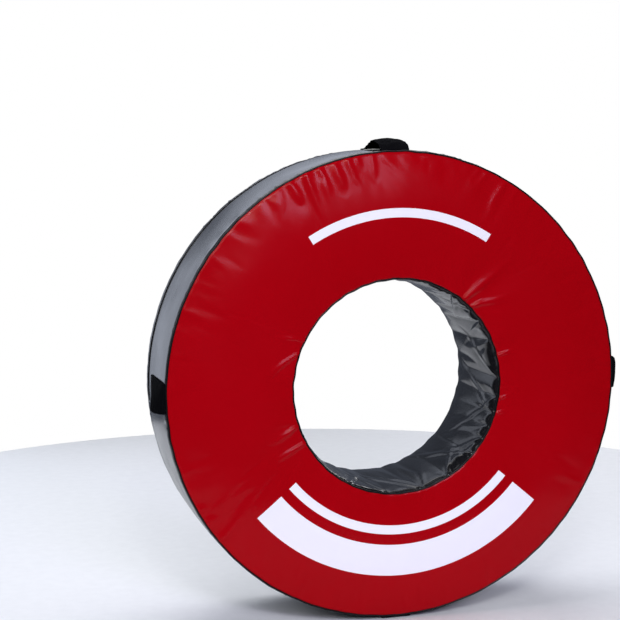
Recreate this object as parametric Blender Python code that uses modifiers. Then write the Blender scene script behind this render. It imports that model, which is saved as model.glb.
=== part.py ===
"""A tackle roller: a ring of foam in a zipped PVC cover, standing on its rim.

Metres, +Z up. The roller's axle line runs along Y and its coloured face looks
towards -Y. The origin lies on the floor, under the middle of the rim, on the flat
underside of the bottom handle. Angles round the ring are measured from +X
towards +Z, as seen from the coloured face.
"""
import math

import bmesh
import bpy
from mathutils import Matrix, Vector

# The ring
roller_radius = 0.600
roller_width = 0.300
bore_radius = 0.270
rim_crown = 0.002
face_crown = 0.006
bore_crown = 0.002
edge_roll_radius = 0.014
bore_roll_radius = 0.012
ring_steps = 60
crown_shares = (0.2, 0.5, 0.8)

# The cover and its seams
cover_thickness = 0.0012
piping_radius = 0.0025
piping_sides = 5
fit_gap = 0.0003
overrun = 0.010
merge_distance = 0.0001

# The handles: webbing from the front rim seam to a tail sewn down before the zip.
# The bottom one lies flat under the roller, from seam to seam.
strap_width = 0.075
strap_thickness = 0.003
strap_columns = 4
tail_zip_gap = 0.041
arch_height = 0.025
left_arch_height = 0.0135
top_handle_angle = math.radians(91.1)
left_handle_angle = math.radians(180.6)
right_handle_angle = math.radians(1)
bottom_handle_angle = math.radians(270)

# Shares of the way along a strap, of its climb over the rim's edge, and of its arch
arch_path_shares = (
    (0, 0, 0), (0.025, 0.50, 0.10), (0.047, 0.72, 0.26), (0.093, 1, 0.50),
    (0.19, 1, 0.78), (0.29, 1, 0.95), (0.38, 1, 1), (0.50, 1, 0.82), (0.61, 1, 0.50),
    (0.72, 1, 0.20), (0.80, 1, 0.04), (0.86, 1, 0), (1, 1, 0),
)
flat_path_shares = (
    (0, 0, 0), (0.016, 0.50, 0), (0.030, 0.72, 0), (0.060, 1, 0), (0.50, 1, 0),
    (0.94, 1, 0), (0.970, 0.72, 0), (0.984, 0.50, 0), (1, 0, 0),
)
arch_crown_share = 0.2
top_lean_share = 0.05
left_lean_share = 0.9
right_lean_share = 0.12

# The foam core, three slabs glued face to face
slab_count = 3
relief_depth = 0.0045
relief_width = 0.024

# The zip, let into the rim near the rear seam
zip_seam_distance = 0.042
zip_start_angle = math.radians(22)
zip_end_angle = math.radians(184)
zip_steps_per_facet = 2
window_width = 0.034
window_end_margin = 0.005
tape_overlap = 0.007
tape_thickness = 0.0008
row_width = 0.0045
row_gap = 0.0010
row_height = 0.0032
stop_length = 0.008
stop_width = 0.0125
stop_height = 0.0016

# The slider and its puller
slider_length = 0.022
slider_play = 0.0005
plate_thickness = 0.0012
flange_thickness = 0.0013
mouth_widening_share = 0.25
post_thickness = 0.0004
post_length_share = 0.45
bridge_length = 0.0135
bridge_width = 0.0030
bridge_thickness = 0.0014
puller_length = 0.038
puller_width = 0.008
puller_thickness = 0.0016
puller_window_length = 0.0085
puller_window_width = 0.0046
puller_round_steps = 6
slider_park_gap = 0.0015

# Sizes that follow from the ones above
half_width = roller_width / 2
ring_centre_height = roller_radius + fit_gap + strap_thickness
rim_edge_radius = roller_radius - rim_crown
face_edge_reach = half_width - face_crown
bore_edge_radius = bore_radius + bore_crown
rim_flat_reach = face_edge_reach - edge_roll_radius
bore_flat_reach = face_edge_reach - bore_roll_radius
seam_angle = math.radians(45)
facet_angle = 2 * math.pi / ring_steps
facet_sag_share = 1 - math.cos(facet_angle / 2)
rim_seam_half_angle = math.asin((piping_radius + fit_gap) / edge_roll_radius)
bore_seam_half_angle = math.asin((piping_radius + fit_gap) / bore_roll_radius)
rim_seam_reach = rim_flat_reach + edge_roll_radius * math.sin(seam_angle)
zip_axial = rim_seam_reach - zip_seam_distance
strap_end_angle = seam_angle - rim_seam_half_angle - fit_gap / edge_roll_radius
strap_roll_radius = edge_roll_radius + fit_gap + strap_thickness / 2
strap_end_radius = (
    rim_edge_radius - edge_roll_radius + strap_roll_radius * math.cos(strap_end_angle)
)
strap_end_reach = rim_flat_reach + strap_roll_radius * math.sin(strap_end_angle)
tape_half_span = window_width / 2 + tape_overlap


def rim_radius_at(axial):
    """Outer radius of the crowned rim at a distance along the axle line."""
    return roller_radius - rim_crown * (axial / rim_flat_reach) ** 2


tape_top_radius = (
    rim_radius_at(zip_axial + tape_half_span)
    - cover_thickness - roller_radius * facet_sag_share - fit_gap
)
tape_bottom_radius = tape_top_radius - tape_thickness
tape_middle_radius = tape_top_radius - tape_thickness / 2
row_top_radius = tape_middle_radius + row_height / 2
row_bottom_radius = tape_middle_radius - row_height / 2
core_depth = roller_radius - (tape_bottom_radius - fit_gap)


def new_collection(name):
    collection = bpy.data.collections.new(name)
    bpy.context.scene.collection.children.link(collection)
    return collection


def plain_material(name, colour, roughness, metallic=0.0):
    material = bpy.data.materials.new(name)
    material.use_nodes = True
    shader = material.node_tree.nodes["Principled BSDF"]
    shader.inputs["Base Color"].default_value = (*colour, 1.0)
    shader.inputs["Roughness"].default_value = roughness
    shader.inputs["Metallic"].default_value = metallic
    material.diffuse_color = (*colour, 1.0)
    return material


def add_object(name, bm, material=None, collection=None):
    """Turn a bmesh into a named object of the roller."""
    mesh = bpy.data.meshes.new(name)
    bm.to_mesh(mesh)
    bm.free()
    piece = bpy.data.objects.new(name, mesh)
    (collection or parts).objects.link(piece)
    if material:
        mesh.materials.append(material)
    return piece


def place_on_ring(piece, parent=None):
    """Lay a piece that is drawn round its own Z axis on the roller's axle line."""
    piece.parent = parent or axle
    piece.rotation_euler = (math.radians(90), 0, 0)


def ring_point(radius, axial):
    """A profile point for a ring that is turned about its own Z axis."""
    return Vector((radius, 0, -axial))


def roll_points(centre_radius, centre_axial, roll_radius, start, end):
    """Points on the rounded edge. The angle is 0 away from the axle line."""
    points = []
    for share in (0, 0.5, 1):
        angle = start + (end - start) * share
        points.append((
            centre_radius + roll_radius * math.cos(angle),
            centre_axial + roll_radius * math.sin(angle),
        ))
    return points


def rim_outline():
    """Outer side of the rim, from the front seam to the rear seam."""
    centre = rim_edge_radius - edge_roll_radius
    turn = seam_angle - rim_seam_half_angle
    points = roll_points(centre, -rim_flat_reach, edge_roll_radius, -turn, 0)
    for share in crown_shares:
        axial = rim_flat_reach * (2 * share - 1)
        points.append((rim_radius_at(axial), axial))
    points += roll_points(centre, rim_flat_reach, edge_roll_radius, 0, turn)
    return points


def face_outline(side):
    """Outer side of a face, from the bore seam to the rim seam."""
    quarter = math.radians(90)
    half = math.radians(180)
    inner_centre = bore_edge_radius + bore_roll_radius
    outer_centre = rim_edge_radius - edge_roll_radius
    points = roll_points(
        inner_centre, side * bore_flat_reach, bore_roll_radius,
        side * (half - seam_angle - bore_seam_half_angle), side * quarter,
    )
    for share in crown_shares:
        radius = inner_centre + (outer_centre - inner_centre) * share
        rise = face_crown * (1 - (2 * share - 1) ** 2)
        points.append((radius, side * (face_edge_reach + rise)))
    points += roll_points(
        outer_centre, side * rim_flat_reach, edge_roll_radius,
        side * quarter, side * (seam_angle + rim_seam_half_angle),
    )
    return points


def bore_outline():
    """Inner side of the ring, from the rear seam to the front seam."""
    half = math.radians(180)
    centre = bore_edge_radius + bore_roll_radius
    turn = seam_angle - bore_seam_half_angle
    points = roll_points(centre, bore_flat_reach, bore_roll_radius, half - turn, half)
    for share in crown_shares:
        offset = 1 - 2 * share
        radius = bore_radius + bore_crown * offset ** 2
        points.append((radius, bore_flat_reach * offset))
    points += roll_points(centre, -bore_flat_reach, bore_roll_radius, half, half + turn)
    return points


def add_modifier(piece, name, kind, **settings):
    modifier = piece.modifiers.new(name, kind)
    for setting, value in settings.items():
        setattr(modifier, setting, value)
    return modifier


def turned_shell(name, outline, material):
    """A sheet of cover: a profile turned about the axle line and given thickness."""
    bm = bmesh.new()
    corners = [bm.verts.new(ring_point(radius, axial)) for radius, axial in outline]
    for first, second in zip(corners, corners[1:]):
        bm.edges.new((first, second))
    piece = add_object(name, bm, material)
    place_on_ring(piece)
    add_modifier(
        piece, "turn", "SCREW", angle=2 * math.pi, steps=ring_steps,
        render_steps=ring_steps, use_merge_vertices=True,
        merge_threshold=merge_distance, use_smooth_shade=True,
    )
    add_modifier(
        piece, "thickness", "SOLIDIFY", thickness=cover_thickness, offset=-1,
    )
    return piece


def turned_solid(name, outline, material):
    """A closed profile turned about the axle line."""
    bm = bmesh.new()
    corners = [bm.verts.new(ring_point(radius, axial)) for radius, axial in outline]
    for first, second in zip(corners, corners[1:] + corners[:1]):
        bm.edges.new((first, second))
    piece = add_object(name, bm, material)
    place_on_ring(piece)
    add_modifier(
        piece, "turn", "SCREW", angle=2 * math.pi, steps=ring_steps,
        render_steps=ring_steps, use_merge_vertices=True,
        merge_threshold=merge_distance, use_smooth_shade=False,
    )
    return piece


def arc_solid(name, outline, start, end, steps, material=None, collection=None):
    """A closed profile swept along part of the ring, with flat ends."""
    bm = bmesh.new()
    corners = [bm.verts.new(ring_point(radius, axial)) for radius, axial in outline]
    section = bm.faces.new(corners)
    bmesh.ops.rotate(
        bm, verts=corners, cent=Vector(), matrix=Matrix.Rotation(start, 3, "Z"),
    )
    bmesh.ops.spin(
        bm, geom=[section], cent=Vector(), axis=Vector((0, 0, 1)), dvec=Vector(),
        angle=end - start, steps=steps, use_duplicate=False,
    )
    bmesh.ops.recalc_face_normals(bm, faces=bm.faces)
    piece = add_object(name, bm, material, collection)
    place_on_ring(piece)
    return piece


def box_outline(low_radius, high_radius, low_axial, high_axial):
    return [
        (low_radius, low_axial), (high_radius, low_axial),
        (high_radius, high_axial), (low_radius, high_axial),
    ]


def boolean(piece, tool, operation):
    tool.hide_render = True
    tool.display_type = "WIRE"
    add_modifier(
        piece, operation.lower() + " " + tool.name, "BOOLEAN",
        object=tool, operation=operation, solver="EXACT",
    )


def make_cover():
    """The four panels of the cover, with the zip's window cut in the rim."""
    turned_shell("front_face_panel", face_outline(-1), red_vinyl)
    turned_shell("rear_face_panel", face_outline(1)[::-1], black_vinyl)
    turned_shell("bore_sleeve", bore_outline(), black_vinyl)
    rim = turned_shell("rim_band", rim_outline(), black_vinyl)
    window = arc_solid(
        "zip_window_cutter",
        box_outline(
            rim_edge_radius - overrun, roller_radius + overrun,
            zip_axial - window_width / 2, zip_axial + window_width / 2,
        ),
        zip_start_angle - window_end_margin / roller_radius,
        zip_end_angle + window_end_margin / roller_radius,
        round((zip_end_angle - zip_start_angle) / facet_angle),
        collection=cutters,
    )
    boolean(rim, window, "DIFFERENCE")


def make_piping(name, centre_radius, centre_axial):
    """A round cord of vinyl that lies in the seam between two panels."""
    bm = bmesh.new()
    corners = []
    for index in range(piping_sides):
        angle = 2 * math.pi * index / piping_sides
        corners.append(bm.verts.new(ring_point(
            centre_radius + piping_radius * math.cos(angle),
            centre_axial + piping_radius * math.sin(angle),
        )))
    for first, second in zip(corners, corners[1:] + corners[:1]):
        bm.edges.new((first, second))
    piece = add_object(name, bm, black_vinyl)
    place_on_ring(piece)
    add_modifier(
        piece, "turn", "SCREW", angle=2 * math.pi, steps=ring_steps,
        render_steps=ring_steps, use_merge_vertices=True,
        merge_threshold=merge_distance, use_smooth_shade=True,
    )
    return piece


def make_pipings():
    sheet_middle = cover_thickness / 2
    rim_roll = (edge_roll_radius - sheet_middle) * math.cos(seam_angle)
    bore_roll = (bore_roll_radius - sheet_middle) * math.cos(seam_angle)
    for side, word in ((-1, "front"), (1, "rear")):
        make_piping(
            word + "_rim_piping",
            rim_edge_radius - edge_roll_radius + rim_roll,
            side * (rim_flat_reach + rim_roll),
        )
        make_piping(
            word + "_bore_piping",
            bore_edge_radius + bore_roll_radius - bore_roll,
            side * (bore_flat_reach + bore_roll),
        )


def face_slab_outline(side):
    """Section of an outer slab, drawn from its face seen in the cover inwards."""
    face_inset = cover_thickness + fit_gap
    bore_inset = cover_thickness + fit_gap
    inner = bore_edge_radius + bore_inset
    outer = rim_edge_radius - core_depth
    glue_line = half_width - roller_width / slab_count + fit_gap / 2
    face_middle = (inner + outer) / 2
    return [
        (inner, side * glue_line),
        (inner, side * (bore_flat_reach)),
        (inner + bore_roll_radius, side * (face_edge_reach - face_inset)),
        (face_middle, side * (half_width - face_inset)),
        (outer - edge_roll_radius, side * (face_edge_reach - face_inset)),
        (outer, side * rim_flat_reach),
        (outer, side * glue_line),
    ]


def make_core():
    """Foam slabs. The rear one has a relief where the zip slider runs."""
    front = face_slab_outline(-1)
    turned_solid("front_foam_slab", front, foam)
    rear = face_slab_outline(1)
    outer = rim_edge_radius - core_depth
    relief = outer - relief_depth
    rear[-1:-1] = [
        (outer, zip_axial + relief_width / 2), (relief, zip_axial + relief_width / 2),
        (relief, zip_axial - relief_width / 2), (outer, zip_axial - relief_width / 2),
    ]
    turned_solid("rear_foam_slab", rear[::-1], foam)
    inner = front[0][0]
    glue_line = -front[0][1] - fit_gap
    middle = box_outline(inner, outer, -glue_line, glue_line)
    turned_solid("middle_foam_slab", middle, foam)


def make_handle(name, angle, path_shares, rear_reach, height=0.0, lean_share=0.0):
    """Webbing across the rim, from the piping in the front seam to its rear end.

    One with an arch curves with the rim, and its middle stands highest.
    """
    rows = len(path_shares)
    lying_radius = roller_radius + fit_gap + strap_thickness / 2
    bm = bmesh.new()
    bmesh.ops.create_grid(bm, x_segments=strap_columns, y_segments=rows - 1, size=1)
    for corner in bm.verts:
        across = corner.co.x
        row = round((corner.co.y + 1) / 2 * (rows - 1))
        along_share, climb_share, arch_share = path_shares[row]
        lean = (1 + lean_share * across) * (1 - arch_crown_share * across ** 2)
        radius = (
            strap_end_radius + (lying_radius - strap_end_radius) * climb_share
            + height * arch_share * lean
        )
        turn = across * strap_width / 2 / roller_radius if height else 0
        corner.co = Vector((
            radius * math.cos(turn),
            strap_end_reach * (along_share - 1) + rear_reach * along_share,
            radius * math.sin(turn) if height else across * strap_width / 2,
        ))
    bmesh.ops.recalc_face_normals(bm, faces=bm.faces)
    piece = add_object(name, bm, webbing)
    piece.data.shade_smooth()
    add_modifier(
        piece, "thickness", "SOLIDIFY", thickness=strap_thickness, offset=0,
    )
    piece.parent = axle
    piece.rotation_euler = (0, -angle, 0)
    return piece


def make_handles():
    tail_reach = zip_axial - window_width / 2 - tail_zip_gap
    make_handle(
        "top_handle", top_handle_angle, arch_path_shares, tail_reach, arch_height,
        top_lean_share,
    )
    make_handle(
        "left_handle", left_handle_angle, arch_path_shares, tail_reach,
        left_arch_height, left_lean_share,
    )
    make_handle(
        "right_handle", right_handle_angle, arch_path_shares, tail_reach, arch_height,
        right_lean_share,
    )
    make_handle(
        "bottom_handle", bottom_handle_angle, flat_path_shares, strap_end_reach,
    )


def make_zip():
    """Two tapes under the window's edges, two rows of teeth, and the end stops."""
    steps = zip_steps_per_facet * round((zip_end_angle - zip_start_angle) / facet_angle)
    stop_angle = stop_length / roller_radius
    tape_extra = (window_end_margin + tape_overlap) / roller_radius
    row_inner = row_gap / 2
    row_outer = row_inner + row_width
    for side, word in ((-1, "front"), (1, "rear")):
        edges = sorted((
            zip_axial + side * (row_outer + fit_gap), zip_axial + side * tape_half_span,
        ))
        arc_solid(
            word + "_zip_tape",
            box_outline(tape_bottom_radius, tape_top_radius, *edges),
            zip_start_angle - tape_extra, zip_end_angle + tape_extra, steps,
            zip_cloth,
        )
        edges = sorted((zip_axial + side * row_inner, zip_axial + side * row_outer))
        arc_solid(
            word + "_tooth_row",
            box_outline(row_bottom_radius, row_top_radius, *edges),
            zip_start_angle + stop_angle + fit_gap / roller_radius,
            zip_end_angle - stop_angle - fit_gap / roller_radius, steps,
            zip_nylon,
        )
    stop_outline = box_outline(
        tape_top_radius + fit_gap, tape_top_radius + fit_gap + stop_height,
        zip_axial - stop_width / 2, zip_axial + stop_width / 2,
    )
    arc_solid(
        "zip_closed_stop", stop_outline, zip_start_angle,
        zip_start_angle + stop_angle, 1, zip_metal,
    )
    arc_solid(
        "zip_open_stop", stop_outline, zip_end_angle - stop_angle,
        zip_end_angle, 1, zip_metal,
    )


def extruded(name, outline, depth, material=None, collection=None):
    """A flat outline, given corner by corner in space, drawn out along a vector."""
    bm = bmesh.new()
    section = bm.faces.new([bm.verts.new(point) for point in outline])
    grown = bmesh.ops.extrude_face_region(bm, geom=[section], use_keep_orig=True)
    moved = [item for item in grown["geom"] if isinstance(item, bmesh.types.BMVert)]
    bmesh.ops.translate(bm, verts=moved, vec=depth)
    bmesh.ops.recalc_face_normals(bm, faces=bm.faces)
    return add_object(name, bm, material, collection)


def slider_section():
    """Half section of the slider, from the post outwards: (axial, radius) points."""
    top_under = row_top_radius + slider_play
    bottom_over = row_bottom_radius - slider_play
    wall = row_gap / 2 + row_width + slider_play
    outside = wall + flange_thickness
    post = post_thickness / 2
    return [
        (post, bottom_over), (post, top_under), (wall, top_under),
        (wall, tape_top_radius + slider_play), (outside, tape_top_radius + slider_play),
        (outside, top_under + plate_thickness), (-outside, top_under + plate_thickness),
        (-outside, tape_top_radius + slider_play), (-wall, tape_top_radius + slider_play),
        (-wall, top_under), (-post, top_under), (-post, bottom_over),
        (-wall, bottom_over), (-wall, tape_bottom_radius - slider_play),
        (-outside, tape_bottom_radius - slider_play),
        (-outside, bottom_over - plate_thickness), (outside, bottom_over - plate_thickness),
        (outside, tape_bottom_radius - slider_play),
        (wall, tape_bottom_radius - slider_play), (wall, bottom_over),
    ]


def make_slider():
    """The slider, drawn at angle 0 with its open mouth towards -Z, then turned."""
    outline = [
        Vector((radius, zip_axial + axial, -slider_length / 2))
        for axial, radius in slider_section()
    ]
    slider = extruded("zip_slider", outline, Vector((0, 0, slider_length)), zip_metal)
    for corner in slider.data.vertices:
        offset = corner.co.y - zip_axial
        if corner.co.z < 0 and abs(offset) > row_width:
            corner.co.y = zip_axial + offset * (1 + mouth_widening_share)
    post_end = slider_length * (post_length_share - 1 / 2)
    window = extruded(
        "slider_throat_cutter",
        [
            Vector((row_bottom_radius - slider_play, zip_axial - row_gap / 2, post_end)),
            Vector((row_top_radius + slider_play, zip_axial - row_gap / 2, post_end)),
            Vector((row_top_radius + slider_play, zip_axial + row_gap / 2, post_end)),
            Vector((row_bottom_radius - slider_play, zip_axial + row_gap / 2, post_end)),
        ],
        Vector((0, 0, slider_length)), collection=cutters,
    )
    boolean(slider, window, "DIFFERENCE")
    bridge = make_bridge()
    boolean(slider, bridge, "UNION")
    for piece in (slider, window, bridge):
        piece.parent = slider_travel
    return slider


def make_bridge():
    """The arch on the slider that holds the puller down."""
    base = slider_top_radius
    reach = bridge_length / 2
    inner_reach = reach - bridge_thickness
    low = puller_axis_radius + puller_swing_radius + fit_gap
    high = low + bridge_thickness
    sunk = base - plate_thickness / 2
    points = [
        (sunk, -reach), (low, -reach), (high, -inner_reach), (high, inner_reach),
        (low, reach), (sunk, reach), (sunk, inner_reach), (low, inner_reach),
        (low, -inner_reach), (sunk, -inner_reach),
    ]
    outline = [
        Vector((radius, zip_axial - bridge_width / 2, along)) for radius, along in points
    ]
    return extruded(
        "slider_bridge_shape", outline, Vector((0, bridge_width, 0)), collection=cutters,
    )


def make_puller():
    """The puller, lying flat towards the closed end, with its eye round the bridge."""
    half = puller_width / 2
    end_centre = puller_length - half
    edge = puller_thickness / 2
    points = [(-half, edge), (half, edge), (half, -end_centre)]
    for index in range(1, puller_round_steps):
        angle = math.pi * index / puller_round_steps
        points.append((half * math.cos(angle), -end_centre - half * math.sin(angle)))
    points.append((-half, -end_centre))
    outline = [Vector((-edge, axial, along)) for axial, along in points]
    puller = extruded("zip_puller", outline, Vector((puller_thickness, 0, 0)), zip_metal)
    eye_half = puller_window_width / 2
    eye_low = -edge - puller_window_length
    eye = extruded(
        "puller_eye_cutter",
        [
            Vector((-overrun, -eye_half, -edge)), Vector((-overrun, eye_half, -edge)),
            Vector((-overrun, eye_half, eye_low)), Vector((-overrun, -eye_half, eye_low)),
        ],
        Vector((2 * overrun, 0, 0)), collection=cutters,
    )
    boolean(puller, eye, "DIFFERENCE")
    for piece in (puller, eye):
        piece.parent = puller_hinge
    return puller


def add_empty(name, parent=None):
    empty = bpy.data.objects.new(name, None)
    empty.empty_display_size = strap_width
    parts.objects.link(empty)
    empty.parent = parent
    return empty


for old in list(bpy.data.objects):
    bpy.data.objects.remove(old, do_unlink=True)

parts = new_collection("tackle_roller")
cutters = new_collection("cutters")

red_vinyl = plain_material("red_vinyl", (0.40, 0.004, 0.010), 0.28)
black_vinyl = plain_material("black_vinyl", (0.020, 0.021, 0.024), 0.30)
webbing = plain_material("webbing", (0.012, 0.012, 0.014), 0.75)
foam = plain_material("foam", (0.30, 0.31, 0.33), 0.95)
zip_cloth = plain_material("zip_cloth", (0.016, 0.016, 0.018), 0.85)
zip_nylon = plain_material("zip_nylon", (0.014, 0.014, 0.015), 0.45)
zip_metal = plain_material("zip_metal", (0.060, 0.060, 0.065), 0.35, 1.0)

slider_top_radius = row_top_radius + slider_play + plate_thickness
puller_swing_radius = puller_thickness / math.sqrt(2)
puller_axis_radius = slider_top_radius + puller_swing_radius + fit_gap
park_angle = zip_start_angle + (
    stop_length + slider_park_gap + slider_length / 2
) / roller_radius

axle = add_empty("axle_line")
axle.location = (0, 0, ring_centre_height)
slider_travel = add_empty("slider_travel", axle)
slider_travel.rotation_euler = (0, -park_angle, 0)
puller_hinge = add_empty("puller_hinge", slider_travel)
puller_hinge.location = (puller_axis_radius, zip_axial, 0)

make_cover()
make_pipings()
make_core()
make_handles()
make_zip()
make_slider()
make_puller()
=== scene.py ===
"""The finished look of a tackle roller: glossy PVC cover, webbing handles and zip.

Metres, in the frame of the CAD part. The axle line runs along Y, the coloured face
looks towards -Y and the floor is at z = 0. Angles round the ring are measured from
+X towards +Z, as seen from the coloured face.
"""
import math

import bmesh
import bpy
import numpy as np
from mathutils import Matrix, Vector


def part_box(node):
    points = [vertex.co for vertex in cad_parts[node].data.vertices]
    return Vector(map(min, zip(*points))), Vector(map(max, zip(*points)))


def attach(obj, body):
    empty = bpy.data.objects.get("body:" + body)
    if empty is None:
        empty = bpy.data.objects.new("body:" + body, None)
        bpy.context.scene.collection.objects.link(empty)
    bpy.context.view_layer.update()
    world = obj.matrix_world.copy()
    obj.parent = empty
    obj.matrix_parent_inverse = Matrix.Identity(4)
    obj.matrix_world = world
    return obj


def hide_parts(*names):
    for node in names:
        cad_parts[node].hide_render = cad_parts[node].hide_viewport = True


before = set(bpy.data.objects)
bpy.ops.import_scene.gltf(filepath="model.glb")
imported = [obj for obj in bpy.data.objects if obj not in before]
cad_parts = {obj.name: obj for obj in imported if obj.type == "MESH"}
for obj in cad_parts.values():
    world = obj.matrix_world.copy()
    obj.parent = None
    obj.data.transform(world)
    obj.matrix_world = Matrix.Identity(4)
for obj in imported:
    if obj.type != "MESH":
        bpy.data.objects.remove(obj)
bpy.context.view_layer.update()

# The ring, measured on the frame
rim_low, rim_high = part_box("rim_band")
ring_centre = (rim_low + rim_high) / 2
roller_radius = (rim_high.x - rim_low.x) / 2
half_width = -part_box("front_face_panel")[0].y

# The ring's other sizes, as in the part
bore_radius = 0.270
rim_crown = 0.002
face_crown = 0.006
bore_crown = 0.002
edge_roll_radius = 0.014
bore_roll_radius = 0.012
cover_thickness = 0.0012
piping_radius = 0.0025
strap_width = 0.075
strap_thickness = 0.003
arch_height = 0.025
left_arch_height = 0.0135
tail_zip_gap = 0.041
window_width = 0.034
window_end_margin = 0.005
zip_start_angle = math.radians(22)
zip_end_angle = math.radians(184)
zip_seam_distance = 0.042
tape_overlap = 0.007
tape_thickness = 0.0008
row_width = 0.0045
row_gap = 0.0010
row_height = 0.0032
stop_length = 0.008
rim_facets = 60
flap_reach = 0.0105
fit_gap = 0.0003

quarter_turn = math.radians(90)
half_turn = math.radians(180)
full_turn = math.radians(360)
seam_angle = math.radians(45)
rim_edge_radius = roller_radius - rim_crown
face_edge_reach = half_width - face_crown
bore_edge_radius = bore_radius + bore_crown
rim_flat_reach = face_edge_reach - edge_roll_radius
bore_flat_reach = face_edge_reach - bore_roll_radius
outer_roll_centre = rim_edge_radius - edge_roll_radius
bore_roll_centre = bore_edge_radius + bore_roll_radius
outer_seam_radius = outer_roll_centre + edge_roll_radius * math.cos(seam_angle)
outer_seam_reach = rim_flat_reach + edge_roll_radius * math.sin(seam_angle)
bore_seam_radius = bore_roll_centre - bore_roll_radius * math.cos(seam_angle)
bore_seam_reach = bore_flat_reach + bore_roll_radius * math.sin(seam_angle)
zip_axial = outer_seam_reach - zip_seam_distance
tape_half_span = window_width / 2 + tape_overlap
facet_sag = roller_radius * (1 - math.cos(half_turn / rim_facets))
tape_top_radius = (
    roller_radius - rim_crown * ((zip_axial + tape_half_span) / rim_flat_reach) ** 2
    - cover_thickness - facet_sag - fit_gap
)
tape_bottom_radius = tape_top_radius - tape_thickness
teeth_middle_radius = tape_top_radius - tape_thickness / 2

# How finely the cover is drawn, and how its cloth lies
cell_size = 0.0065
face_steps = 640
rim_steps = 720
bore_steps = 420
tape_steps = 360
settle_frames = 20
inward_room = 0.0009
slide_share = 0.7
sewn_distance = 0.0008


def ripple(angle, seed, slowest, fastest, waves=9):
    """A smooth uneven wave round the ring, about 1 high, the same on each run."""
    chooser = np.random.default_rng(seed)
    turns = chooser.integers(slowest, fastest + 1, waves)
    phases = chooser.uniform(0, full_turn, waves)
    total = sum(np.cos(turn * angle + phase) for turn, phase in zip(turns, phases))
    return total / math.sqrt(waves / 2)


def get_points(piece):
    points = np.empty(len(piece.data.vertices) * 3)
    piece.data.vertices.foreach_get("co", points)
    return points.reshape(-1, 3)


def set_points(piece, points):
    piece.data.vertices.foreach_set("co", np.asarray(points).ravel())
    piece.data.update()


def polar(points):
    """Radius, angle and axial place of points, about the axle line."""
    across = points[:, 0] - ring_centre.x
    up = points[:, 2] - ring_centre.z
    return np.hypot(across, up), np.arctan2(up, across), points[:, 1] - ring_centre.y


def unpolar(radius, angle, axial):
    return np.column_stack([
        ring_centre.x + radius * np.cos(angle),
        ring_centre.y + axial,
        ring_centre.z + radius * np.sin(angle),
    ])


def finish_piece(name, bm, material=None):
    """Turn a bmesh into a smooth shaded piece at the origin."""
    mesh = bpy.data.meshes.new(name)
    bm.to_mesh(mesh)
    bm.free()
    mesh.shade_smooth()
    piece = bpy.data.objects.new(name, mesh)
    bpy.context.scene.collection.objects.link(piece)
    if material:
        mesh.materials.append(material)
    return piece


def roll_arc(centre_radius, centre_axial, roll_radius, start, end, points=5):
    """The rounded edge of a panel. The angle is 0 away from the axle line."""
    return [
        (
            centre_radius + roll_radius * math.cos(angle),
            centre_axial + roll_radius * math.sin(angle),
        )
        for angle in np.linspace(start, end, points)
    ]


def crown_run(start, end, bow, bow_power=2):
    """Evenly spaced points between two places, without the ends, bowed outwards."""
    start, end, bow = np.array(start), np.array(end), np.array(bow)
    count = max(2, round(float(np.linalg.norm(end - start)) / cell_size))
    shares = np.linspace(0, 1, count + 1)[1:-1]
    return [
        tuple(
            start + (end - start) * share + bow * (1 - abs(2 * share - 1) ** bow_power)
        )
        for share in shares
    ]


def face_skin(side):
    """Section of a face, from the bore seam to the rim seam."""
    inner = roll_arc(
        bore_roll_centre, side * bore_flat_reach, bore_roll_radius,
        side * (half_turn - seam_angle), side * quarter_turn,
    )
    outer = roll_arc(
        outer_roll_centre, side * rim_flat_reach, edge_roll_radius,
        side * quarter_turn, side * seam_angle,
    )
    middle = crown_run(inner[-1], outer[0], (0, side * face_crown), bow_power=3)
    return inner + middle + outer


def bore_skin():
    """Section of the bore, from the front seam to the rear seam."""
    front = roll_arc(
        bore_roll_centre, -bore_flat_reach, bore_roll_radius,
        half_turn + seam_angle, half_turn,
    )
    rear = roll_arc(
        bore_roll_centre, bore_flat_reach, bore_roll_radius,
        half_turn, half_turn - seam_angle,
    )
    return front + crown_run(front[-1], rear[0], (-bore_crown, 0)) + rear


def rim_skin():
    """Section of the rim from the front seam to the rear seam."""
    front = roll_arc(
        outer_roll_centre, -rim_flat_reach, edge_roll_radius, -seam_angle, 0,
    )
    rear = roll_arc(
        outer_roll_centre, rim_flat_reach, edge_roll_radius, 0, seam_angle,
    )
    return front + crown_run(front[-1], rear[0], (rim_crown, 0)) + rear


def spun(name, section, steps, start=0.0, arc=full_turn, material=None, closed=False):
    """A section, turned about the axle line, as a sheet with its faces outwards."""
    bm = bmesh.new()
    corners = [bm.verts.new((radius, axial, 0)) for radius, axial in section]
    pairs = list(zip(corners, corners[1:]))
    if closed:
        pairs.append((corners[-1], corners[0]))
    edges = [bm.edges.new(pair) for pair in pairs]
    bmesh.ops.rotate(
        bm, verts=corners, cent=Vector(), matrix=Matrix.Rotation(-start, 3, "Y"),
    )
    bmesh.ops.spin(
        bm, geom=corners + edges, cent=Vector(), axis=Vector((0, -1, 0)),
        dvec=Vector(), angle=arc, steps=steps, use_merge=arc == full_turn,
        use_duplicate=False,
    )
    bmesh.ops.translate(bm, verts=bm.verts, vec=ring_centre)
    return finish_piece(name, bm, material)


def face_outwards(piece, directions):
    """Turn a sheet's faces over if they look away from the directions at its points."""
    normals = np.empty(len(piece.data.vertices) * 3)
    piece.data.vertices.foreach_get("normal", normals)
    if (normals.reshape(-1, 3) * directions(get_points(piece))).sum() < 0:
        piece.data.flip_normals()


def away_from_axle(points):
    return (points - np.array(ring_centre)) * (1, 0, 1)


def towards_axle(points):
    return -away_from_axle(points)


def forwards(points):
    return np.array((0, -1, 0))


def backwards(points):
    return np.array((0, 1, 0))


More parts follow.
